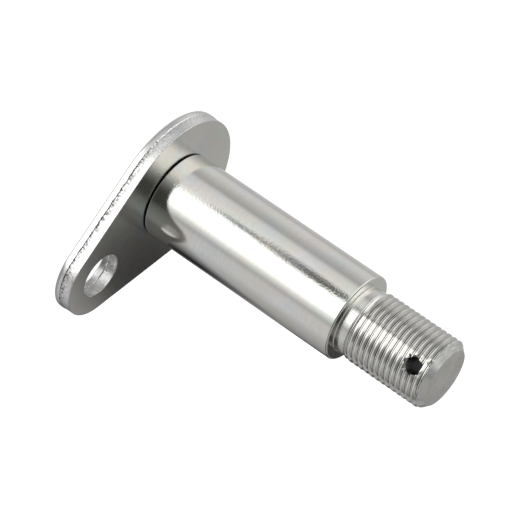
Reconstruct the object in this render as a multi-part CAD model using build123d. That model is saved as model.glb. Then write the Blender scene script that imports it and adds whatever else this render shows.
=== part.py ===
from build123d import *
import math
import os

# Tie rod pin: a turned and threaded pin, welded through a blanked flag plate.
# All sizes are in millimetres. The pin's axis is Z and its thread points up.
# The plate's back face lies on Z = 0, and its tab points along +X.

# Flag plate
plate_thickness = 4.5
head_radius = 20.0
tab_radius = 11.0
tab_reach = 26.5
tab_hole_diameter = 11.0
rollover_radius = 0.6

# Shank
shank_diameter = 22.0
shank_length = 54.5
seam_chamfer = 0.5
shoulder_edge_radius = 0.4

# Spigot in the plate, and the weld round its back end
spigot_diameter = 16.0
spigot_clearance = 0.05
weld_leg = 2.0

# Relief neck between the shoulder and the thread
neck_relief = 0.6
neck_length = 2.7
neck_fillet = 0.5

# Metric fine thread
thread_diameter = 18.0
thread_pitch = 1.5
thread_length = 22.3
crest_allowance = 0.125
thread_runout = 0.8
thread_chamfer = 1.6
thread_start_angle = -77.0

# Split pin hole across the thread
split_hole_diameter = 4.0
split_hole_from_end = 5.0
split_hole_angle = -60.0

# Heights along the pin
seat = plate_thickness
shoulder = seat + shank_length
neck_end = shoulder + neck_length
tip = neck_end + thread_length

# Radii along the pin
shank_radius = shank_diameter / 2
spigot_radius = spigot_diameter / 2
bore_radius = spigot_radius + spigot_clearance
neck_radius = thread_diameter / 2 - neck_relief
crest_radius = thread_diameter / 2 - crest_allowance
root_radius = thread_diameter / 2 - 0.6134 * thread_pitch
tip_radius = crest_radius - thread_chamfer


def section(points):
    """A closed outline in the XZ plane, from radius and height pairs."""
    corners = [(radius, 0, height) for radius, height in points]
    return make_face(Polyline(*corners, close=True))


def corner_at(face, radius, height):
    """The corner of a section at this radius and height."""
    return face.vertices().sort_by_distance((radius, 0, height))[0]


def turned(face):
    """The solid that a section makes when it is turned about the pin's axis."""
    return revolve(face, axis=Axis.Z).solid()


def flag_plate():
    """A drop-shaped plate, blanked from sheet, so its back edges are rolled over."""
    outline = make_hull((Circle(head_radius) + Pos(tab_reach, 0) * Circle(tab_radius)).edges())
    plate = extrude(outline, plate_thickness)
    tab_hole = Cylinder(tab_hole_diameter / 2, plate_thickness, align=(Align.CENTER, Align.CENTER, Align.MIN))
    plate -= Pos(tab_reach, 0) * tab_hole
    back_edges = plate.faces().sort_by(Axis.Z)[0].edges()
    plate = fillet(back_edges, rollover_radius)

    # The bore for the spigot opens out at the back for the weld
    bore = section([
        (0, 0),
        (bore_radius + weld_leg, 0),
        (bore_radius, weld_leg),
        (bore_radius, plate_thickness),
        (0, plate_thickness),
    ])
    return plate - turned(bore)


def weld_ring():
    """Weld metal that fills the countersink round the spigot, dressed flush."""
    fill = section([
        (spigot_radius, 0),
        (bore_radius + weld_leg, 0),
        (bore_radius, weld_leg),
        (spigot_radius, weld_leg),
    ])
    return turned(fill)


def half_ridge(radius):
    """Half the width of the thread's ridge at this radius, with 60 degree flanks."""
    flank = (thread_diameter / 2 - radius) * math.tan(math.radians(30))
    return thread_pitch / 16 + flank


def thread_ridge():
    """The helical ridge of the thread, trimmed to its run-out, crest and chamfer."""
    sunk_radius = root_radius - 0.2 * thread_pitch
    outer_radius = thread_diameter / 2
    root_half = half_ridge(root_radius)
    outer_half = half_ridge(outer_radius)
    corners = [
        (sunk_radius, -root_half),
        (root_radius, -root_half),
        (outer_radius, -outer_half),
        (outer_radius, outer_half),
        (root_radius, root_half),
        (sunk_radius, root_half),
    ]

    # One ruled strip for each side of the ridge on each turn
    first = neck_end - thread_pitch
    turns = math.ceil((tip - first) / thread_pitch) + 1
    strips = []
    for turn in range(turns):
        height = first + turn * thread_pitch
        curves = [
            Edge.make_helix(thread_pitch, thread_pitch, radius, center=(0, 0, height + offset))
            for radius, offset in corners
        ]
        for one, other in zip(curves, curves[1:] + curves[:1]):
            strips.append(Face.make_surface_from_curves(one, other))
    for height in (first, first + turns * thread_pitch):
        loop = [Vector(radius, 0, height + offset) for radius, offset in corners]
        strips.append(Face(Wire.make_polygon(loop, close=True)))
    ridge = Rot(0, 0, thread_start_angle) * Solid(Shell(strips))

    # The ridge grows out of the neck and ends in the chamfer
    envelope = section([
        (0, neck_end),
        (neck_radius - 0.1, neck_end),
        (crest_radius, neck_end + thread_runout),
        (crest_radius, tip - thread_chamfer),
        (tip_radius, tip),
        (0, tip),
    ])
    return ridge.intersect(turned(envelope))


def turned_pin():
    """Spigot, shank, relief neck and thread, turned from one bar."""
    root_height = tip - (root_radius - tip_radius)
    core = section([
        (0, 0),
        (spigot_radius, 0),
        (spigot_radius, seat),
        (shank_radius - seam_chamfer, seat),
        (shank_radius, seat + seam_chamfer),
        (shank_radius, shoulder),
        (neck_radius, shoulder),
        (neck_radius, neck_end),
        (root_radius, neck_end + thread_runout / 2),
        (root_radius, root_height),
        (tip_radius, tip),
        (0, tip),
    ])
    core = fillet(corner_at(core, shank_radius, shoulder), shoulder_edge_radius)
    core = fillet(corner_at(core, neck_radius, shoulder), neck_fillet)
    pin = turned(core).fuse(*thread_ridge().solids())

    # The split pin hole crosses the axis near the tip
    hole_height = tip - split_hole_from_end
    hole = Rot(0, 90, 0) * Cylinder(split_hole_diameter / 2, 2 * thread_diameter)
    hole = Pos(0, 0, hole_height) * Rot(0, 0, split_hole_angle) * hole
    return pin.cut(hole.solid())


os.makedirs("parts", exist_ok=True)
for name, piece in {
    "flag_plate": flag_plate(),
    "turned_pin": turned_pin(),
    "weld_ring": weld_ring(),
}.items():
    export_step(piece, f"parts/{name}.step")
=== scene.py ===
import math

import bmesh
import bpy
from mathutils import Matrix, Vector, noise

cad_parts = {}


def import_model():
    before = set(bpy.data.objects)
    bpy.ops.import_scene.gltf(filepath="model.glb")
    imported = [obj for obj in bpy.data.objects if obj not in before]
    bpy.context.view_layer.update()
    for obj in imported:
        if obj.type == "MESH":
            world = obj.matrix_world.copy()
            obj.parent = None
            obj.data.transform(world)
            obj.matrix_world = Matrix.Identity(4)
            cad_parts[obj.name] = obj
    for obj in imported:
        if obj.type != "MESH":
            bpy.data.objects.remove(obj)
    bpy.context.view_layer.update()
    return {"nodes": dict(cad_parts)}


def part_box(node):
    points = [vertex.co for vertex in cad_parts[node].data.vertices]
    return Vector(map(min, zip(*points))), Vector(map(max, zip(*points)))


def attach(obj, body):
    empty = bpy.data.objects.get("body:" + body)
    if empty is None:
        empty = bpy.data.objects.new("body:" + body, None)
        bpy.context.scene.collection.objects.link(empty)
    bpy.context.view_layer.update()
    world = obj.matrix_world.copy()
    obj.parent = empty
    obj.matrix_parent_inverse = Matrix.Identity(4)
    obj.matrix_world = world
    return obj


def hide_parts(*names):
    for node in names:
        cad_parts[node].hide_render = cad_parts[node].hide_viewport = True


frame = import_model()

# The looks of a tie rod pin: the CAD nodes as finely made meshes, their zinc-plated
# materials, a pale floor, grey and white cards round the part, lamps and the camera.
# Sizes are in millimetres in the row frame and turn into metres when a mesh is made.
MM = 0.001
BODY = "root"

# Points closer than this are one point, with a wider reach where the split pin hole was cut.
# Edges that turn by more than SHARP_ANGLE degrees are sharp, and level faces are flat
MERGE_REACH = 0.002
CUT_MERGE_REACH = 0.02
SHARP_ANGLE = 28
LEVEL = 0.9999

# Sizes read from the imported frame
plate_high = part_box("flag_plate")[1] / MM
pin_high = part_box("turned_pin")[1] / MM
HEAD_RADIUS = plate_high.y
TAB_END = plate_high.x
PLATE_TOP = plate_high.z
TIP = pin_high.z
SHANK_RADIUS = pin_high.x

# Flag plate: outline, holes and sheared edge. Insets and drops are from its widest outline and
# its front face, and each list of shares places the rows of points along a face
TAB_RADIUS = 11.0
TAB_REACH = TAB_END - TAB_RADIUS
TAB_HOLE_RADIUS = 5.5
BORE_RADIUS = 8.05
WELD_LEG = 2.0
ROLLOVER = 0.6
ROLLOVER_STEPS = 5
SHEAR_LINE = 1.65
SHEAR_TAPER = 0.16
EDGE_BREAK = 0.08
BREAK_INSET = 0.03
BREAK_DROP = 0.3 * EDGE_BREAK
BACK_INSET = 1.3 * ROLLOVER
FRONT_INSET = SHEAR_TAPER + 4 * EDGE_BREAK
SEAT_RIM = SHANK_RADIUS - 0.05
HEAD_STEPS = 480
FLANK_STEPS = 156
TAB_STEPS = 168
SPLIT_STEP = 61
SPLIT_ROWS = 60
FACE_SHARES = [0.0, 0.06, 0.2, 0.4, 0.6, 0.8, 0.94, 1.0]
BURNISHED_SHARES = [0.35, 0.7]

# The torn zone of a sheared wall: its ledge, then grain and pits. Shares run from the ledge to
# the plate's front
LEDGE = 0.08
LEDGE_SHARE = 0.08
LEDGE_DROP = 0.04
LEDGE_WANDER = 0.14
LEDGE_RIPPLE = 0.07
TORN_SHARES = [0.0, 0.03, 0.08, 0.15, 0.23, 0.31, 0.4, 0.5, 0.6, 0.7, 0.8, 0.9, 1.0]
TORN_FADE = 0.06
GRAIN_DEPTH = 0.03
PIT_DEPTH = 0.05
PIT_STRETCH = 0.7
DEEP_PIT_SHARE = 0.25
DEEP_PIT_GAIN = 2.0

# Turned pin. Rows of points at SUPPORT from a corner keep the shading tight there
SPIGOT_RADIUS = 8.0
SEAM_GAP = 0.3
SEAM_DEPTH = 1.2
SEAM_EDGE = 0.28
SHOULDER = 59.0
SHOULDER_ROUND = 0.4
NECK_RADIUS = 8.4
NECK_END = 61.7
NECK_FILLET = 0.25
SUPPORT = 0.08
THREAD_RADIUS = 9.0
CREST_RADIUS = 8.875
ROOT_RADIUS = 8.08
TIP_RADIUS = 7.275
PITCH = 1.5
RUNOUT = 0.8
FLANK_ANGLE = 30
CREST_HEIGHT = 60.2
CREST_ANGLE = -77.0
CREST_GRAIN = 0.018
CREST_GRAIN_ABOVE = ROOT_RADIUS + 0.4
TURN_STEPS = 168
SHANK_ROWS = 27
END_SHARES = [1.0, 0.93, 0.75, 0.5, 0.25, 0.06, 0.0]

# Widths along the thread's ribbon, from one crest to the next, with painted shade in its root
FLANK_WIDTHS = [0.0, 0.11, 0.166, 0.22, 0.32, 0.46, 0.58, 0.625]
ROOT_FROM = 0.8
ROOT_MIDDLE = 0.875
ROOT_TO = 0.96

# Split pin hole, its torn rims and burrs, and a nick on the thread's last crest
HOLE_RADIUS = 2.0
HOLE_HEIGHT = 79.0
HOLE_ANGLE = -60.0
RAGGED_DEPTH = 7.9
RAGGED_LENGTH = 0.5
RAGGED_FLARE = 1.4
TEAR_RING = 3.0
TEAR_DRIFT = 0.5
TEAR_LEAST = 0.1
TORN_AWAY = 1.3
BURR_REACH = 0.8
BURR_INSIDE = -0.6
BURR_HEIGHT = 0.36
BURR_LIFT = 0.1
BURR_DIP = -0.3
BURR_TOP = TIP - 1.7
DRILL_STEPS = 96
DRILL_END = 2 * THREAD_RADIUS
DRILL_REACHES = [
    -DRILL_END, -THREAD_RADIUS, -8.5, -RAGGED_DEPTH, -5, 0, 5,
    RAGGED_DEPTH, 8.3, 8.7, THREAD_RADIUS, DRILL_END,
]
NICK_ANGLE = -79.0
NICK_HEIGHT = 82.1
NICK_SIZE = 0.45
NICK_SLIMNESS = 0.7
NICK_DEPTH = 0.22

# Camera: its place in millimetres, where it looks, which way is up in the picture, its lens,
# and the distances in metres between which it sees
CAMERA_PLACE = (188.48, -552.51, 270.22)
CAMERA_LOOK = (-0.29664, 0.87674, -0.37859)
CAMERA_UP = (-0.71297, -0.46707, -0.52300)
CAMERA_AZIMUTH = -71.2
FOCAL_PIXELS = 2753.4
IMAGE_PIXELS = 520
SENSOR_WIDTH = 36.0
CLIP_START = 0.05
CLIP_END = 20.0


def make_mesh(name, points, faces):
    """A mesh object from points in millimetres."""
    mesh = bpy.data.meshes.new(name)
    mesh.from_pydata([Vector(point) * MM for point in points], [], faces)
    thing = bpy.data.objects.new(name, mesh)
    bpy.context.scene.collection.objects.link(thing)
    return thing


def back_to_back(work):
    """Faces that share all their corners with another face, and so enclose nothing."""
    groups = {}
    for face in work.faces:
        corners = frozenset(point.index for point in face.verts)
        groups.setdefault(corners, []).append(face)
    return [face for group in groups.values() if len(group) > 1 for face in group]


def clean_up(thing, reach=MERGE_REACH):
    """Merges double points, removes folds, turns faces outwards and marks the sharp edges."""
    work = bmesh.new()
    work.from_mesh(thing.data)
    bmesh.ops.remove_doubles(work, verts=work.verts, dist=reach * MM)
    bmesh.ops.dissolve_degenerate(work, edges=work.edges, dist=reach / 2 * MM)
    many_sided = [face for face in work.faces if len(face.verts) > 4]
    bmesh.ops.triangulate(work, faces=many_sided)
    work.verts.index_update()
    bmesh.ops.delete(work, geom=back_to_back(work), context="FACES")
    bmesh.ops.recalc_face_normals(work, faces=work.faces)
    for face in work.faces:
        face.smooth = abs(face.normal.z) < LEVEL
    for edge in work.edges:
        edge.smooth = edge.calc_face_angle(0.0) < math.radians(SHARP_ANGLE)
    work.to_mesh(thing.data)
    work.free()


def rough(point, scale, seed):
    """Smooth noise from -1 to 1 at a point in millimetres."""
    return noise.noise(Vector(point) / scale + Vector((seed, seed, seed)))


# Flag plate

def drop_outline(inset):
    """Points round the plate, counter-clockwise, this far inside its widest outline."""
    turn = math.acos((HEAD_RADIUS - TAB_RADIUS) / TAB_REACH)
    head = HEAD_RADIUS - inset
    tab = TAB_RADIUS - inset
    points = []
    for step in range(HEAD_STEPS):
        angle = turn + (2 * math.pi - 2 * turn) * step / HEAD_STEPS
        points.append(Vector((head * math.cos(angle), head * math.sin(angle))))
    head_end = Vector((head * math.cos(turn), -head * math.sin(turn)))
    tab_start = Vector((TAB_REACH + tab * math.cos(turn), -tab * math.sin(turn)))
    for step in range(FLANK_STEPS):
        points.append(head_end.lerp(tab_start, step / FLANK_STEPS))
    for step in range(TAB_STEPS):
        angle = -turn + 2 * turn * step / TAB_STEPS
        points.append(Vector((TAB_REACH + tab * math.cos(angle), tab * math.sin(angle))))
    flip = Vector((1, -1))
    for step in range(FLANK_STEPS):
        points.append((tab_start * flip).lerp(head_end * flip, step / FLANK_STEPS))
    return points


def halves(inset):
    """The outlines of the head's and the tab's part of a flat face, split between its holes."""
    outline = drop_outline(inset)
    low = HEAD_STEPS + SPLIT_STEP
    high = len(outline) - SPLIT_STEP
    steps = range(1, SPLIT_ROWS)
    split = [outline[low].lerp(outline[high], step / SPLIT_ROWS) for step in steps]
    head = outline[high:] + outline[:low + 1] + split
    tab = outline[low:high + 1] + split[::-1]
    return head, tab


def ring(centre_x, radius, around):
    """Points round a circle in the plate, each on the line to one of the points around it."""
    centre = Vector((centre_x, 0))
    return [centre + (point - centre).normalized() * radius for point in around]


def flat_rows(inner, outer, height):
    """Rows of a flat face between a hole's edge and the outline round it."""
    rows = []
    for share in FACE_SHARES:
        rows.append([(*one.lerp(other, share), height) for one, other in zip(inner, outer)])
    return rows


def ledge(point):
    """How far the shear line wanders up or down at a point of the outline."""
    place = (*point, 0)
    wander = LEDGE_WANDER * rough(place, scale=0.9, seed=3.0)
    return wander + LEDGE_RIPPLE * rough(place, scale=0.3, seed=5.0)


def sheared_wall(shape):
    """Rows of a sheared wall from back to front. shape gives its points at an inset."""
    rows = [[(*point, 0.0) for point in shape(BACK_INSET)]]
    for step in range(ROLLOVER_STEPS + 1):
        angle = math.pi / 2 * step / ROLLOVER_STEPS
        inset = ROLLOVER * (1 - math.sin(angle))
        height = ROLLOVER * (1 - math.cos(angle))
        rows.append([(*point, height) for point in shape(inset)])
    for share in BURNISHED_SHARES:
        height = ROLLOVER + (SHEAR_LINE - ROLLOVER) * share
        rows.append([(*point, height) for point in shape(0.0)])
    rows.append([(*point, SHEAR_LINE + ledge(point) - LEDGE_DROP) for point in shape(0.0)])

    # The torn zone starts at a ragged ledge and leans in towards the front
    torn = PLATE_TOP - EDGE_BREAK - SHEAR_LINE
    for share in TORN_SHARES:
        inset = LEDGE * min(1.0, share / LEDGE_SHARE) + (SHEAR_TAPER - LEDGE) * share
        row = []

        # The inner points are 1 mm further in, so a share of the way there is a depth
        for point, inner in zip(shape(inset), shape(inset + 1.0)):
            height = SHEAR_LINE + ledge(point) * (1 - share) + torn * share
            grain = 0.5 + 0.5 * rough((*point, height), scale=0.5, seed=9.0)
            squeezed = (point.x, point.y, height * PIT_STRETCH)
            pits = max(0.0, rough(squeezed, scale=0.22, seed=13.0))
            near_ledge = 1.0 + DEEP_PIT_GAIN * max(0.0, 1 - share / DEEP_PIT_SHARE)
            fade = min(1.0, share / TORN_FADE, (1 - share) / TORN_FADE)
            depth = fade * (GRAIN_DEPTH * grain + PIT_DEPTH * near_ledge * pits)
            row.append((*point.lerp(inner, depth), height))
        rows.append(row)
    front = [
        (SHEAR_TAPER + BREAK_INSET, BREAK_DROP),
        (SHEAR_TAPER + EDGE_BREAK, 0.0),
        (FRONT_INSET, 0.0),
    ]
    for inset, drop in front:
        rows.append([(*point, PLATE_TOP - drop) for point in shape(inset)])
    return rows


def add_rows(points, faces, rows):
    """Adds closed rows of points and the quads between them. Returns each row's first index."""
    starts = []
    for row in rows:
        starts.append(len(points))
        points.extend(row)
    count = len(rows[0])
    for low, high in zip(starts, starts[1:]):
        for step in range(count):
            after = (step + 1) % count
            faces.append((low + step, low + after, high + after, high + step))
    return starts


def flag_plate():
    """The plate with its rolled back edge, torn walls and holes."""
    points = []
    faces = []
    head, tab = halves(0.0)

    def tab_ring(inset):
        return ring(TAB_REACH, TAB_HOLE_RADIUS + inset, tab)

    def head_ring(radius):
        return ring(0.0, radius, head)

    add_rows(points, faces, sheared_wall(drop_outline))
    add_rows(points, faces, sheared_wall(tab_ring))
    countersink = [
        (BORE_RADIUS + WELD_LEG, 0.0),
        (BORE_RADIUS, WELD_LEG),
        (BORE_RADIUS, PLATE_TOP),
        (SEAT_RIM, PLATE_TOP),
    ]
    bore = [[(*point, height) for point in head_ring(radius)] for radius, height in countersink]
    add_rows(points, faces, bore)

    flat_faces = [
        (BACK_INSET, 0.0, BORE_RADIUS + WELD_LEG),
        (FRONT_INSET, PLATE_TOP, SEAT_RIM),
    ]
    for inset, height, radius in flat_faces:
        head_outline, tab_outline = halves(inset)
        add_rows(points, faces, flat_rows(head_ring(radius), head_outline, height))
        add_rows(points, faces, flat_rows(tab_ring(inset), tab_outline, height))
    plate = make_mesh("flag_plate_detail", points, faces)
    clean_up(plate)
    return plate


# Turned pin

def thread_radius(height, angle):
    """The thread's surface at a height and an angle in degrees, before its ends are trimmed."""
    crest = CREST_HEIGHT + PITCH * (angle - CREST_ANGLE) / 360
    phase = (height - crest) / PITCH
    width = abs(phase - round(phase)) * PITCH
    flank = THREAD_RADIUS - (width - PITCH / 16) / math.tan(math.radians(FLANK_ANGLE))
    return max(ROOT_RADIUS, min(CREST_RADIUS, flank))


def pin_radius(height, angle):
    """The threaded end's surface with its run-out, chamfer, burrs and nick."""
    radius = thread_radius(height, angle)
    turn = math.radians(angle)
    place = (radius * math.cos(turn), radius * math.sin(turn), height)
    if radius > CREST_GRAIN_ABOVE:
        radius += CREST_GRAIN * rough(place, scale=1.1, seed=21.0)
    start = min(1.0, max(0.0, (height - NECK_END) / RUNOUT))
    radius = NECK_RADIUS + (radius - NECK_RADIUS) * start
    radius = min(radius, TIP_RADIUS + (TIP - height))

    # Metal pushed up round the ends of the split pin hole
    across = math.radians(angle - HOLE_ANGLE)
    away = math.hypot(radius * math.sin(across), height - HOLE_HEIGHT) - HOLE_RADIUS
    if math.cos(across) > 0 and BURR_INSIDE < away < BURR_REACH and height < BURR_TOP:
        lift = 1 - abs(away) / BURR_REACH
        burr = max(BURR_DIP, BURR_LIFT + rough(place, scale=0.7, seed=31.0))
        radius += BURR_HEIGHT * lift * burr

    across = math.radians(angle - NICK_ANGLE)
    if math.cos(across) > 0:
        width = radius * math.sin(across) * NICK_SLIMNESS
        gap = math.hypot(width, height - NICK_HEIGHT) / NICK_SIZE
        radius -= NICK_DEPTH * math.exp(-gap * gap)
    return radius


def lathe_row(radius, height):
    """One closed row of the pin."""
    row = []
    for step in range(TURN_STEPS):
        angle = math.radians(CREST_ANGLE + 360 * step / TURN_STEPS)
        row.append((radius * math.cos(angle), radius * math.sin(angle), height))
    return row


def rounded(centre, radius, first, last, steps=6):
    """Radius and height pairs along an arc of a section. 0 degrees is outwards and 90 is up."""
    pairs = []
    for step in range(steps + 1):
        angle = math.radians(first + (last - first) * step / steps)
        pairs.append((centre[0] + radius * math.cos(angle), centre[1] + radius * math.sin(angle)))
    return pairs


def thread_ribbon(points, faces):
    """The threaded end as one long ribbon of quads that follows the helix."""
    offsets = FLANK_WIDTHS + [PITCH / 2, ROOT_FROM, ROOT_MIDDLE, ROOT_TO]
    offsets += [PITCH - width for width in reversed(FLANK_WIDTHS[1:-2])]
    count = len(offsets)
    first = len(points)
    turns = math.ceil((TIP - NECK_END) / PITCH) + 3
    total = turns * TURN_STEPS
    for step in range(total):
        angle = CREST_ANGLE + 360 * step / TURN_STEPS
        base = CREST_HEIGHT - PITCH + PITCH * step / TURN_STEPS
        for offset in offsets:
            height = min(TIP, max(NECK_END, base + offset))
            radius = pin_radius(height, angle)
            turn = math.radians(angle)
            points.append((radius * math.cos(turn), radius * math.sin(turn), height))
    for step in range(total - TURN_STEPS - 1):
        here = first + step * count
        after = here + count
        above = here + TURN_STEPS * count
        for side in range(count - 1):
            faces.append((here + side, after + side, after + side + 1, here + side + 1))
        last = count - 1
        faces.append((here + last, after + last, above + count, above))


def cut_hole(pin):
    """Drills the split pin hole. Its rims are torn where it cuts the thread."""
    turn = math.radians(HOLE_ANGLE)
    along = Vector((math.cos(turn), math.sin(turn), 0))
    up = Vector((0, 0, 1))
    side = up.cross(along)
    middle = Vector((0, 0, HOLE_HEIGHT))
    rows = []
    for reach in DRILL_REACHES:
        torn = min(RAGGED_LENGTH, max(0.0, abs(reach) - RAGGED_DEPTH))
        row = []
        for step in range(DRILL_STEPS):
            angle = 2 * math.pi * step / DRILL_STEPS
            spoke = side * math.cos(angle) + up * math.sin(angle)
            place = spoke * TEAR_RING + along * reach * TEAR_DRIFT
            flare = RAGGED_FLARE * (rough(place, scale=1.0, seed=41.0) - TEAR_LEAST)
            notch = TORN_AWAY * max(0.0, -math.sin(angle))
            radius = HOLE_RADIUS + torn * (flare + notch)
            row.append(along * reach + spoke * radius + middle)
        rows.append(row)
    points = []
    faces = []
    starts = add_rows(points, faces, rows)
    faces.append(tuple(reversed(range(DRILL_STEPS))))
    faces.append(tuple(range(starts[-1], starts[-1] + DRILL_STEPS)))
    drill = make_mesh("drill", points, faces)
    clean_up(drill)
    cut = pin.modifiers.new("split_pin_hole", "BOOLEAN")
    cut.operation = "DIFFERENCE"
    cut.solver = "EXACT"
    cut.object = drill
    graph = bpy.context.evaluated_depsgraph_get()
    mesh = bpy.data.meshes.new_from_object(pin.evaluated_get(graph))
    pin.modifiers.clear()
    pin.data = mesh
    bpy.data.objects.remove(drill)


def turned_pin():
    """The pin with its shank, neck, helical thread and split pin hole."""
    seat = PLATE_TOP
    shank_top = SHOULDER - SHOULDER_ROUND
    sections = [
        (0.0, 0.0),
        (SPIGOT_RADIUS / 2, 0.0),
        (SPIGOT_RADIUS, 0.0),
        (SPIGOT_RADIUS, seat),
        (SHANK_RADIUS - SEAM_DEPTH, seat),
        (SHANK_RADIUS - SEAM_DEPTH, seat + SEAM_GAP),
    ]
    low = seat + SEAM_GAP + SEAM_EDGE
    sections += rounded((SHANK_RADIUS - SEAM_EDGE, low), SEAM_EDGE, -90, 0)
    sections.append((SHANK_RADIUS, low + SUPPORT))
    for step in range(1, SHANK_ROWS):
        sections.append((SHANK_RADIUS, low + (shank_top - low) * step / SHANK_ROWS))
    sections.append((SHANK_RADIUS, shank_top - SUPPORT))
    sections += rounded((SHANK_RADIUS - SHOULDER_ROUND, shank_top), SHOULDER_ROUND, 0, 90)
    sections.append((SHANK_RADIUS - SHOULDER_ROUND - SUPPORT, SHOULDER))
    sections.append((NECK_RADIUS + NECK_FILLET + SUPPORT, SHOULDER))
    fillet = (NECK_RADIUS + NECK_FILLET, SHOULDER + NECK_FILLET)
    sections += rounded(fillet, NECK_FILLET, 270, 180)
    sections.append((NECK_RADIUS, SHOULDER + NECK_FILLET + SUPPORT))
    sections.append((NECK_RADIUS, NECK_END - SUPPORT))
    sections.append((NECK_RADIUS, NECK_END))
    end_face = [(TIP_RADIUS * share, TIP) for share in END_SHARES]

    points = []
    faces = []
    add_rows(points, faces, [lathe_row(*pair) for pair in sections])
    thread_ribbon(points, faces)
    add_rows(points, faces, [lathe_row(*pair) for pair in end_face])
    pin = make_mesh("turned_pin_detail", points, faces)
    clean_up(pin)
    cut_hole(pin)
    clean_up(pin, CUT_MERGE_REACH)
    return pin


# Materials

def node(tree, kind, inputs=None, **settings):
    """Adds a node. Each input is a value, or another node's output."""
    made = tree.nodes.new(kind)
    for name, value in settings.items():
        setattr(made, name, value)
    for name, value in (inputs or {}).items():
        if isinstance(value, bpy.types.NodeSocket):
            tree.links.new(value, made.inputs[name])
        else:
            made.inputs[name].default_value = value
    return made


def ramp(tree, factor, stops, interpolation="LINEAR"):
    """A colour ramp's output. Stops are positions from 0 to 1 with a colour or a grey."""
    made = tree.nodes.new("ShaderNodeValToRGB")
    made.color_ramp.interpolation = interpolation
    elements = made.color_ramp.elements
    while len(elements) < len(stops):
        elements.new(0.5)
    for element, (position, colour) in zip(elements, stops):
        element.position = position
        grey = isinstance(colour, (int, float))
        element.color = (colour, colour, colour, 1) if grey else (*colour, 1)
    tree.links.new(factor, made.inputs["Fac"])
    return made.outputs["Color"]


def noise_at(tree, place, stretch, detail, roughness=0.55):
    """Noise in millimetres: stretch is its number of waves per millimetre along X, Y and Z."""
    scale = tuple(value / MM for value in stretch)
    mapped = node(tree, "ShaderNodeMapping", {"Vector": place, "Scale": scale}).outputs["Vector"]
    inputs = {"Vector": mapped, "Scale": 1.0, "Detail": detail, "Roughness": roughness}
    return node(tree, "ShaderNodeTexNoise", inputs).outputs["Fac"]


def map_range(tree, value, low, high, new_low, new_high):
    """A value moved from one range to another, and kept inside it."""
    inputs = {"From Min": low, "From Max": high, "To Min": new_low, "To Max": new_high}
    return node(tree, "ShaderNodeMapRange", {"Value": value, **inputs}).outputs["Result"]


def combine(tree, operation, one, other):
    """The result of a math operation on two values."""
    return node(tree, "ShaderNodeMath", {0: one, 1: other}, operation=operation).outputs["Value"]


def along_axis(tree, place, axis):
    """One coordinate of a place."""
    return node(tree, "ShaderNodeSeparateXYZ", {"Vector": place}).outputs[axis]


def raised(tree, relief, marks, strength, depth):
    """The surface's direction with marks of a depth in millimetres on top of a relief, if any."""
    inputs = {"Height": marks, "Strength": strength, "Distance": depth * MM}
    if relief is not None:
        inputs["Normal"] = relief
    return node(tree, "ShaderNodeBump", inputs).outputs["Normal"]


def mix(tree, factor, one, two, blend="MIX"):
    """Two colours mixed."""
    made = tree.nodes.new("ShaderNodeMix")
    made.data_type = "RGBA"
    made.blend_type = blend
    for socket, value in ((0, factor), (6, one), (7, two)):
        if isinstance(value, bpy.types.NodeSocket):
            tree.links.new(value, made.inputs[socket])
        else:
            made.inputs[socket].default_value = value if socket == 0 else (*value, 1)
    return made.outputs[2]


def blank_material(name):
    """A new material with an empty node tree."""
    material = bpy.data.materials.new(name)
    material.use_nodes = True
    material.node_tree.nodes.clear()
    return material


def give_surface(tree, shader, kind="ShaderNodeOutputMaterial"):
    """Ends a node tree with this shader as its surface."""
    out = tree.nodes.new(kind)
    tree.links.new(shader, out.inputs["Surface"])


# The strip of the shank with scuffs: the way it faces in degrees, and how far its sides and its
# middle are from the pin's axis that way
SCUFF_ANGLE = -84.0
SCUFF_SIDES = 10.84
SCUFF_MIDDLE = 10.97

# Painted shade in the pits of the plate's wall: it thins out between two distances above the shear
# line, and from one place along X to another, to these shares
PITS_FULL = 0.5
PITS_THIN = 1.5
PITS_THIN_SHARE = 0.12
PITS_FEW_AT = -6.0
PITS_MANY_AT = 5.0
PITS_FEW_SHARE = 0.3

# Painted shade on the drilled wall: full up to the first distance from the axis, none from the
# second
DARK_UP_TO = 5.2
PLAIN_FROM = 7.6

# Waves per millimetre of each noise along X, Y and Z
BLOTCH_WAVES = (0.09, 0.09, 0.05)
FILM_WAVES = (0.13, 0.13, 0.06)
SPECK_WAVES = (1.6, 1.6, 2.4)
SCUFF_WAVES = (2.2, 2.2, 1.8)
PIT_WAVES = (2.1, 2.1, 1.5)
TURNING_WAVES = (3.5, 0.0, 3.5)

# The part of a noise's range from 0 to 1 that is put to use
BLOTCH_SPAN = (0.35, 0.65)
FINE_SPAN = (0.3, 0.7)
PIT_SPAN = (0.46, 0.56)

# Grime in the fine grain of every finish, and painted shade in the plate's pits
GRIME_AND_PIT_SHADE = (0.2, 0.2, 0.19)
GRIME_SHARE = 0.12
# Painted shade deep inside the split pin hole
PAINTED_HOLE_SHADE = (0.02, 0.02, 0.02)
FILM_COLOURS = [
    (0.30, (0.92, 0.97, 1.0)),
    (0.42, (1.0, 1.0, 1.0)),
    (0.49, (1.0, 0.955, 0.94)),
    (0.55, (1.0, 0.99, 0.93)),
    (0.62, (0.95, 1.0, 0.96)),
    (0.72, (0.93, 0.97, 1.0)),
]


def scuffed(tree, place, relief, depth):
    """Relief with scuffs in a strip along the shank."""
    turn = math.radians(SCUFF_ANGLE)
    inputs = {0: place, 1: (math.cos(turn), math.sin(turn), 0)}
    toward = node(tree, "ShaderNodeVectorMath", inputs, operation="DOT_PRODUCT").outputs["Value"]
    band = map_range(tree, toward, SCUFF_SIDES * MM, SCUFF_MIDDLE * MM, 0.0, 1.0)
    marks = noise_at(tree, place, SCUFF_WAVES, 1.0)
    return raised(tree, relief, marks, band, depth)


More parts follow.
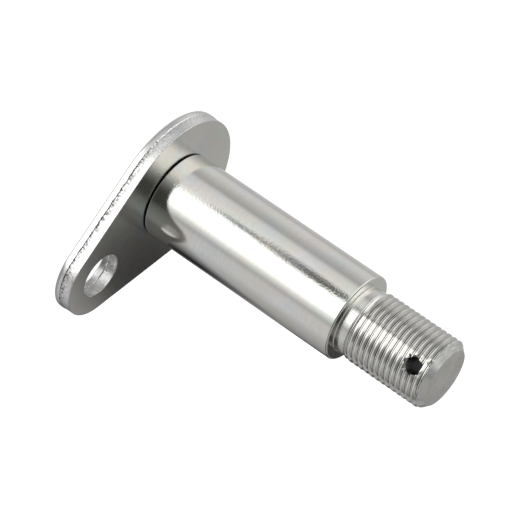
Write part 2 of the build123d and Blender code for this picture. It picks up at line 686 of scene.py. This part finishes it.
def pitted(tree, place, relief, colour, depth):
    """Pits in relief, and painted shade in them that is thickest above the shear line and towards
    the tab.
    """
    marks = noise_at(tree, place, PIT_WAVES, 2.0, 0.65)
    full = (SHEAR_LINE + PITS_FULL) * MM
    thin = (SHEAR_LINE + PITS_THIN) * MM
    band = map_range(tree, along_axis(tree, place, "Z"), full, thin, 1.0, PITS_THIN_SHARE)
    across = along_axis(tree, place, "X")
    share = map_range(tree, across, PITS_FEW_AT * MM, PITS_MANY_AT * MM, PITS_FEW_SHARE, 1.0)
    pits = map_range(tree, marks, *PIT_SPAN, 0.0, 1.0)
    pits = combine(tree, "MULTIPLY", combine(tree, "MULTIPLY", pits, band), share)
    return raised(tree, relief, marks, 1.0, depth), mix(tree, pits, colour, GRIME_AND_PIT_SHADE)


def machined(tree, place, relief, colour, depth, hole_shade):
    """Relief and colour with turning marks, and painted shade on a deep hole's wall near the pin's
    axis.
    """
    flat = node(tree, "ShaderNodeVectorMath", {0: place, 1: (1, 1, 0)}, operation="MULTIPLY")
    inputs = {0: flat.outputs["Vector"]}
    reach = node(tree, "ShaderNodeVectorMath", inputs, operation="LENGTH").outputs["Value"]
    if hole_shade:
        shade = map_range(tree, reach, DARK_UP_TO * MM, PLAIN_FROM * MM, 1.0, 0.0)
        colour = mix(tree, shade, colour, PAINTED_HOLE_SHADE)
    inputs = {"X": reach, "Z": along_axis(tree, place, "Z")}
    turned = node(tree, "ShaderNodeCombineXYZ", inputs).outputs["Vector"]
    marks = noise_at(tree, turned, TURNING_WAVES, 2.0)
    return raised(tree, relief, marks, 1.0, depth), colour


def zinc(
    name, light, dark, roughness, grain, bump, anisotropic=0.0, film=1.0, bump_depth=0.01,
    rings=0.0, specks=0.0, torn=0.0, scuffs=0.0, hole_shade=False,
):
    """Zinc plate on steel: blotches, a faint coloured film, and grain in roughness and bump.
    With very dark colours it makes painted shade. rings adds turning marks, specks adds short
    marks that break up the reflections, torn adds pits in the plate's wall with painted shade in
    them, scuffs roughens a strip of the shank, and the last one paints shade deep inside the split
    pin hole. Each but the last is a depth in millimetres."""
    material = blank_material(name)
    tree = material.node_tree
    place = tree.nodes.new("ShaderNodeTexCoord").outputs["Object"]
    blotch = noise_at(tree, place, BLOTCH_WAVES, 4.0)
    fine = noise_at(tree, place, grain, 4.0, 0.65)
    colour = mix(tree, map_range(tree, blotch, *BLOTCH_SPAN, 0.0, 1.0), dark, light)
    tint = ramp(tree, noise_at(tree, place, FILM_WAVES, 2.0), FILM_COLOURS, "B_SPLINE")
    colour = mix(tree, film, colour, tint, "MULTIPLY")
    colour = mix(tree, map_range(tree, fine, *FINE_SPAN, GRIME_SHARE, 0.0), colour, GRIME_AND_PIT_SHADE)
    smooth, dull = roughness
    relief = raised(tree, None, fine, bump, bump_depth)
    if specks:
        marks = noise_at(tree, place, SPECK_WAVES, 5.0, 0.7)
        relief = raised(tree, relief, marks, 1.0, specks)
    if scuffs:
        relief = scuffed(tree, place, relief, scuffs)
    if torn:
        relief, colour = pitted(tree, place, relief, colour, torn)
    if rings:
        relief, colour = machined(tree, place, relief, colour, rings, hole_shade)
    inputs = {
        "Base Color": colour,
        "Metallic": 1.0,
        "Roughness": map_range(tree, fine, *FINE_SPAN, dull, smooth),
        "Anisotropic": anisotropic,
        "Normal": relief,
    }
    if anisotropic:
        around = node(tree, "ShaderNodeTangent", direction_type="RADIAL", axis="Z")
        inputs["Tangent"] = around.outputs["Tangent"]
    give_surface(tree, node(tree, "ShaderNodeBsdfPrincipled", inputs).outputs["BSDF"])
    return material


def paint_faces(thing, materials, choose):
    """Gives each face the material whose place in the list choose returns."""
    for material in materials:
        thing.data.materials.append(material)
    for face in thing.data.polygons:
        face.material_index = choose(face.center / MM, face.normal)


# Stage: floor, tent, cards and lamps

SQUARE = [(-1, -1, 0), (1, -1, 0), (1, 1, 0), (-1, 1, 0)]
WHITE = (1, 1, 1, 1)


def stage_mesh(name, points, faces):
    """A mesh of the stage, which isn't part of the object."""
    thing = make_mesh(name, points, faces)
    return thing


def background_rays(tree):
    """1 for camera, glossy and transmission rays, which see the white background."""
    rays = tree.nodes.new("ShaderNodeLightPath").outputs
    seen = rays["Is Camera Ray"]
    for kind in ("Is Glossy Ray", "Is Transmission Ray"):
        seen = combine(tree, "MAXIMUM", seen, rays[kind])
    return seen


FLOOR_HALF = 3000.0
FLOOR_COLOUR = (0.30, 0.30, 0.30, 1)
FLOOR_GLOW = 0.86


def floor():
    """A pale floor. It glows for the rays that see the background, and keeps the part's shadow."""
    corners = [Vector(corner) * FLOOR_HALF for corner in SQUARE]
    thing = stage_mesh("floor", corners, [(0, 1, 2, 3)])
    material = blank_material("pale_floor")
    tree = material.node_tree
    matt = node(tree, "ShaderNodeBsdfDiffuse", {"Color": FLOOR_COLOUR})
    strength = combine(tree, "MULTIPLY", background_rays(tree), FLOOR_GLOW)
    glow = node(tree, "ShaderNodeEmission", {"Color": WHITE, "Strength": strength})
    inputs = {0: matt.outputs["BSDF"], 1: glow.outputs["Emission"]}
    give_surface(tree, node(tree, "ShaderNodeAddShader", inputs).outputs["Shader"])
    thing.data.materials.append(material)
    thing.visible_glossy = False


# The light tent's brightness by azimuth in degrees, counted from the camera's azimuth, in five
# belts: below the floor, where the pin's walls look, where the flat faces look, high, overhead
FLOOR_BELT = [
    (-180, 0.12), (-150, 0.4), (-120, 0.55), (-60, 0.42), (-48, 0.44), (-36, 0.62), (-22, 1.6),
    (16, 1.5), (30, 0.55), (45, 0.27), (65, 0.24), (100, 0.34), (180, 0.12),
]
WALL_BELT = [
    (-180, 0.74), (-168, 0.62), (-135, 0.50), (-120, 0.69), (-105, 0.68), (-85, 0.51),
    (-73, 0.43), (-62, 0.73), (-36, 0.86), (-22, 0.8), (-13, 1.6), (24, 1.5), (36, 0.85),
    (48, 0.46), (60, 0.62), (84, 0.62), (104, 0.48), (130, 0.35), (146, 0.25), (156, 0.22),
    (166, 0.4), (180, 0.54),
]
FACE_BELT = [
    (-180, 0.45), (-150, 0.44), (-130, 0.60), (-112, 0.95), (-92, 1.4), (-40, 1.3),
    (-26, 0.8), (-12, 0.3), (4, 0.08), (12, 0.02), (40, 0.02), (52, 0.12), (86, 0.2), (104, 0.04),
    (160, 0.06), (172, 0.34), (180, 0.44),
]
HIGH_BELT = [
    (-180, 0.5), (-155, 0.6), (-140, 0.45), (-100, 0.6), (-60, 0.85), (-30, 0.3), (0, 0.1),
    (45, 0.1), (70, 0.35), (125, 0.4), (145, 0.2), (165, 0.3), (180, 0.5),
]
OVERHEAD_BELT = [(-180, 0.5), (-90, 0.65), (-50, 0.85), (0, 0.35), (90, 0.4), (180, 0.5)]

# Each belt but the lowest, with the elevations in degrees between which it takes over
BELTS_ABOVE = [
    (-27, -24, WALL_BELT),
    (-8, 8, FACE_BELT),
    (25, 30, HIGH_BELT),
    (44, 56, OVERHEAD_BELT),
]
TENT_RADIUS = 3000.0
TENT_COLUMNS = 96
TENT_ROWS = 48


def tent_material():
    """Pale cloth that is lighter and darker in broad bands."""
    material = blank_material("tent_cloth")
    tree = material.node_tree
    place = tree.nodes.new("ShaderNodeTexCoord").outputs["Object"]
    turn = node(tree, "ShaderNodeTexGradient", {"Vector": place}, gradient_type="RADIAL")
    height = along_axis(tree, place, "Z")

    def belt_colour(belt):
        stops = [((azimuth + 180) / 360, grey) for azimuth, grey in belt]
        return ramp(tree, turn.outputs["Fac"], stops)

    colour = belt_colour(FLOOR_BELT)
    for first, last, belt in BELTS_ABOVE:
        low = TENT_RADIUS * MM * math.sin(math.radians(first))
        high = TENT_RADIUS * MM * math.sin(math.radians(last))
        share = map_range(tree, height, low, high, 0.0, 1.0)
        colour = mix(tree, share, colour, belt_colour(belt))
    glow = node(tree, "ShaderNodeEmission", {"Color": colour, "Strength": 1.0})
    give_surface(tree, glow.outputs["Emission"])
    return material


def only_in_metal(thing):
    """Leaves a card or the tent to the metal's reflections."""
    thing.visible_camera = False
    thing.visible_diffuse = False
    thing.visible_shadow = False
    thing.visible_transmission = False


def tent():
    """A light tent round the part, which shows only in its metal."""
    rows = []
    for row in range(TENT_ROWS + 1):
        turn = math.pi * (row / TENT_ROWS - 0.5)
        radius = TENT_RADIUS * math.cos(turn)
        height = TENT_RADIUS * math.sin(turn)
        circle = []
        for column in range(TENT_COLUMNS):
            angle = 2 * math.pi * column / TENT_COLUMNS
            circle.append((radius * math.cos(angle), radius * math.sin(angle), height))
        rows.append(circle)
    points = []
    faces = []
    add_rows(points, faces, rows)
    thing = stage_mesh("light_tent", points, faces)
    thing.rotation_euler.z = math.radians(CAMERA_AZIMUTH)
    thing.data.materials.append(tent_material())
    only_in_metal(thing)


# Grey cards near the part, by azimuth from the camera's azimuth and distance from the pin's axis:
# name, azimuth, distance, height, lie flat, turn in its own plane, half length, half width,
# the share of its half length that is solid, brightness
CARDS = [
    ("tab_card", 164, 70, 34, False, 0, 26, 26, 0.42, 0.02),
    ("shoulder_card", 170, 66, 85, False, 0, 9, 12, 0.5, 0.04),
    ("hole_card", 71.2, 41, -6, True, 0, 12, 10, 0.55, 0.28),
    ("shadow_card", 129, 46, 0.5, True, 140, 76, 31, 0.14, 0.02),
    ("streak_card", -24, 146, 0.5, True, -24, 66, 34, 0.35, 0.14),
    ("near_streak_card", -24, 84, 0.5, True, -24, 36, 8, 0.3, 0.2),
    ("tip_card", 137, 62, 100, False, 0, 24, 22, 0.6, 0.4),
    ("opening_card", -135, 137, 445, True, 0, 185, 185, 0.8, 0.03),
    ("lens_card", 53, 104, 445, True, 53, 40, 40, 0.6, 0.03),
]


def soft_card(name, azimuth, distance, height, flat, turn, half_length, half_width, solid, grey):
    """An oval card whose edge fades out. It lies flat or stands and faces the pin."""
    corners = [Vector(corner) / MM for corner in SQUARE]
    thing = stage_mesh(name, corners, [(0, 1, 2, 3)])
    bearing = math.radians(CAMERA_AZIMUTH + azimuth)
    place = Vector((distance * math.cos(bearing), distance * math.sin(bearing), height))
    thing.location = place * MM
    thing.scale = (half_length * MM, half_width * MM, 1)
    if flat:
        thing.rotation_euler = (0, 0, math.radians(CAMERA_AZIMUTH + turn))
    else:
        thing.rotation_euler = (math.pi / 2, 0, bearing - math.pi / 2)
    material = blank_material(name + "_grey")
    tree = material.node_tree
    middle = tree.nodes.new("ShaderNodeTexCoord").outputs["Object"]
    reach = node(tree, "ShaderNodeVectorMath", {0: middle}, operation="LENGTH").outputs["Value"]
    clear = tree.nodes.new("ShaderNodeBsdfTransparent").outputs["BSDF"]
    colour = (grey, grey, grey, 1)
    glow = node(tree, "ShaderNodeEmission", {"Color": colour, "Strength": 1.0})
    cover = map_range(tree, reach, solid, 1.0, 1.0, 0.0)
    inputs = {0: cover, 1: clear, 2: glow.outputs["Emission"]}
    give_surface(tree, node(tree, "ShaderNodeMixShader", inputs).outputs["Shader"])
    thing.data.materials.append(material)
    only_in_metal(thing)


# Two large soft lamps above the part: name, place, the length of a side, and power in watts
LAMPS = [
    ("key_lamp", (-250, -350, 700), 500, 3.2),
    ("fill_lamp", (450, 250, 600), 500, 1.6),
]


def lamps():
    """Square lamps that point at the pin's middle and don't show in its metal."""
    for name, place, size, power in LAMPS:
        data = bpy.data.lights.new(name, "AREA")
        data.shape = "SQUARE"
        data.size = size * MM
        data.energy = power
        lamp = bpy.data.objects.new(name, data)
        bpy.context.scene.collection.objects.link(lamp)
        lamp.location = Vector(place) * MM
        aim = Vector((0, 0, TIP / 2)) * MM - lamp.location
        lamp.rotation_mode = "QUATERNION"
        lamp.rotation_quaternion = aim.to_track_quat("-Z", "Y")
        lamp.visible_glossy = False


WORLD_GREY = 0.6


def world():
    """Even grey light, and white for the rays that see the background."""
    made = bpy.data.worlds.new("studio")
    bpy.context.scene.world = made
    made.use_nodes = True
    tree = made.node_tree
    tree.nodes.clear()
    strength = map_range(tree, background_rays(tree), 0.0, 1.0, WORLD_GREY, 1.0)
    light = node(tree, "ShaderNodeBackground", {"Color": WHITE, "Strength": strength})
    give_surface(tree, light.outputs["Background"], "ShaderNodeOutputWorld")


def camera():
    """The camera, with the thread towards the viewer's lower right."""
    data = bpy.data.cameras.new("camera")
    data.sensor_width = SENSOR_WIDTH
    data.lens = SENSOR_WIDTH * FOCAL_PIXELS / IMAGE_PIXELS
    data.clip_start = CLIP_START
    data.clip_end = CLIP_END
    thing = bpy.data.objects.new("camera", data)
    bpy.context.scene.collection.objects.link(thing)
    back = -Vector(CAMERA_LOOK).normalized()
    right = Vector(CAMERA_UP).cross(back).normalized()
    up = back.cross(right)
    turn = Matrix((right, up, back)).transposed().to_4x4()
    thing.matrix_world = Matrix.Translation(Vector(CAMERA_PLACE) * MM) @ turn
    bpy.context.scene.camera = thing


# Which faces of a mesh have which finish. Distances in millimetres
NEAR = 0.01
SEAM_MARGIN = 0.02
FLAT_SLOPE = 0.7
HOLE_MARGIN = 0.5
LEDGE_MARGIN = 0.03
TORN_MARGIN = 0.06
CHAMFER_FROM = TIP - 1.5
CHAMFER_SLOPE = 0.6
CHAMFER_REACH = TIP_RADIUS + TIP + 0.05
NECK_FINISH_END = NECK_END + 0.3

PLATE_FACE, PLATE_TORN, PLATE_BURNISHED, PLATE_SEAM, PLATE_HOLE = range(5)


def plate_zone(centre, normal):
    """Which finish a face of the plate has: flat, seam, hole's wall, torn or burnished wall."""
    # The plate's ring under the shank's seam gets painted shade
    if centre.z > PLATE_TOP - NEAR and centre.xy.length < SHANK_RADIUS - SEAM_MARGIN:
        return PLATE_SEAM
    if abs(normal.z) > FLAT_SLOPE:
        return PLATE_FACE
    if (centre.xy - Vector((TAB_REACH, 0))).length < TAB_HOLE_RADIUS + HOLE_MARGIN:
        return PLATE_HOLE
    above_ledge = centre.z > SHEAR_LINE + ledge(centre.xy) - LEDGE_MARGIN
    return PLATE_TORN if above_ledge else PLATE_BURNISHED


PIN_SHANK, PIN_THREAD, PIN_END, PIN_HOLE, PIN_SEAM, PIN_NECK, PIN_ROOT = range(7)


def pin_zone(centre, normal):
    """Which finish a face of the pin has."""
    radius = math.hypot(centre.x, centre.y)
    angle = math.degrees(math.atan2(centre.y, centre.x))

    # The split pin hole's wall, and what is torn away below the thread's surface at its ends
    turn = math.radians(HOLE_ANGLE)
    along = centre.x * math.cos(turn) + centre.y * math.sin(turn)
    side = math.sqrt(max(0.0, radius * radius - along * along))
    away = math.hypot(side, centre.z - HOLE_HEIGHT) - HOLE_RADIUS
    if away < NEAR:
        return PIN_HOLE
    if away < RAGGED_FLARE and radius < pin_radius(centre.z, angle) - TORN_MARGIN:
        return PIN_HOLE

    # The groove of the seam under the shank gets painted shade
    seam_top = PLATE_TOP + SEAM_GAP + SEAM_MARGIN
    if PLATE_TOP - NEAR < centre.z < seam_top and radius < SHANK_RADIUS:
        return PIN_SEAM
    if centre.z > TIP - NEAR:
        return PIN_END
    sloped = centre.z > CHAMFER_FROM and normal.z > CHAMFER_SLOPE
    if sloped and radius + centre.z < CHAMFER_REACH:
        return PIN_NECK
    if SHOULDER + NEAR < centre.z < NECK_FINISH_END:
        return PIN_NECK
    if centre.z < NECK_END:
        return PIN_SHANK
    # A band in the thread's root gets painted shade
    above_crest = (centre.z - CREST_HEIGHT - PITCH * (angle - CREST_ANGLE) / 360) % PITCH
    in_root = ROOT_FROM < above_crest < ROOT_TO and centre.z > NECK_END + RUNOUT
    return PIN_ROOT if in_root else PIN_THREAD


# Zinc and steel finishes and painted shade by name, with the values that the function zinc takes
FINISHES = {
    "satin_zinc": {
        "light": (0.81, 0.80, 0.765), "dark": (0.75, 0.74, 0.70), "roughness": (0.18, 0.25),
        "grain": (3.0, 3.0, 3.0), "bump": 0.08, "specks": 0.002,
    },
    # The torn wall, with painted shade in its pits
    "torn_zinc": {
        "light": (1.0, 1.0, 0.99), "dark": (0.94, 0.94, 0.93), "roughness": (0.18, 0.3),
        "grain": (2.6, 2.6, 1.6), "bump": 0.3, "film": 0.3, "torn": 0.05,
    },
    "burnished_zinc": {
        "light": (1.0, 1.0, 0.99), "dark": (0.95, 0.95, 0.94), "roughness": (0.12, 0.2),
        "grain": (1.2, 1.2, 0.5), "bump": 0.3, "film": 0.3,
    },
    "punched_zinc": {
        "light": (1.0, 1.0, 0.99), "dark": (0.96, 0.96, 0.95), "roughness": (0.2, 0.3),
        "grain": (1.8, 1.8, 1.2), "bump": 0.4, "film": 0.3, "bump_depth": 0.03,
    },
    "bright_zinc": {
        "light": (0.88, 0.87, 0.85), "dark": (0.83, 0.83, 0.80), "roughness": (0.07, 0.13),
        "grain": (0.3, 0.3, 6.0), "bump": 0.25, "anisotropic": 0.6, "specks": 0.006,
        "scuffs": 0.027,
    },
    "cut_thread_zinc": {
        "light": (0.88, 0.875, 0.85), "dark": (0.82, 0.815, 0.79), "roughness": (0.06, 0.11),
        "grain": (0.5, 0.5, 4.0), "bump": 0.06, "film": 0.35, "rings": 0.006,
    },
    # Painted shade: a dark band in the thread's roots, where the crests meet
    "thread_root_painted_shade": {
        "light": (0.13, 0.13, 0.125), "dark": (0.07, 0.07, 0.07), "roughness": (0.12, 0.2),
        "grain": (1.5, 1.5, 1.5), "bump": 0.2, "film": 0.35,
    },
    "faced_zinc": {
        "light": (0.74, 0.72, 0.685), "dark": (0.62, 0.60, 0.57), "roughness": (0.24, 0.34),
        "grain": (0.3, 0.3, 0.3), "bump": 0.3, "rings": 0.003,
    },
    "turned_zinc": {
        "light": (0.86, 0.86, 0.84), "dark": (0.78, 0.78, 0.76), "roughness": (0.14, 0.24),
        "grain": (0.5, 0.5, 5.0), "bump": 0.3, "film": 0.4, "rings": 0.02,
    },
    # Bare drilled steel, with painted shade deep in the split pin hole
    "drilled_steel_and_painted_shade": {
        "light": (0.6, 0.6, 0.58), "dark": (0.26, 0.26, 0.25), "roughness": (0.3, 0.45),
        "grain": (3.0, 3.0, 3.0), "bump": 0.5, "rings": 0.05, "hole_shade": True,
    },
    "dressed_weld": {
        "light": (0.62, 0.62, 0.6), "dark": (0.5, 0.5, 0.48), "roughness": (0.3, 0.5),
        "grain": (0.6, 6.0, 2.0), "bump": 0.4,
    },
    # Painted shade in the seam between the plate and the shank
    "seam_painted_shade": {
        "light": (0.09, 0.09, 0.085), "dark": (0.03, 0.03, 0.03), "roughness": (0.5, 0.7),
        "grain": (2.0, 2.0, 2.0), "bump": 0.3,
    },
}

# The finishes of each mesh, in the order of its zones
PLATE_FINISHES = ["satin_zinc", "torn_zinc", "burnished_zinc", "seam_painted_shade", "punched_zinc"]
PIN_FINISHES = [
    "bright_zinc", "cut_thread_zinc", "faced_zinc", "drilled_steel_and_painted_shade", "seam_painted_shade", "turned_zinc",
    "thread_root_painted_shade",
]


def dress_part():
    """Builds the detailed pieces and gives every shown piece its material."""
    made = {name: zinc(name, **finish) for name, finish in FINISHES.items()}

    plate = flag_plate()
    paint_faces(plate, [made[name] for name in PLATE_FINISHES], plate_zone)
    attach(plate, BODY)
    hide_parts("flag_plate")

    pin = turned_pin()
    paint_faces(pin, [made[name] for name in PIN_FINISHES], pin_zone)
    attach(pin, BODY)
    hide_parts("turned_pin")

    weld = frame["nodes"]["weld_ring"]
    weld.data.materials.clear()
    weld.data.materials.append(made["dressed_weld"])


dress_part()
floor()
tent()
for card in CARDS:
    soft_card(*card)
lamps()
world()
camera()
bpy.context.scene.view_settings.view_transform = "Standard"
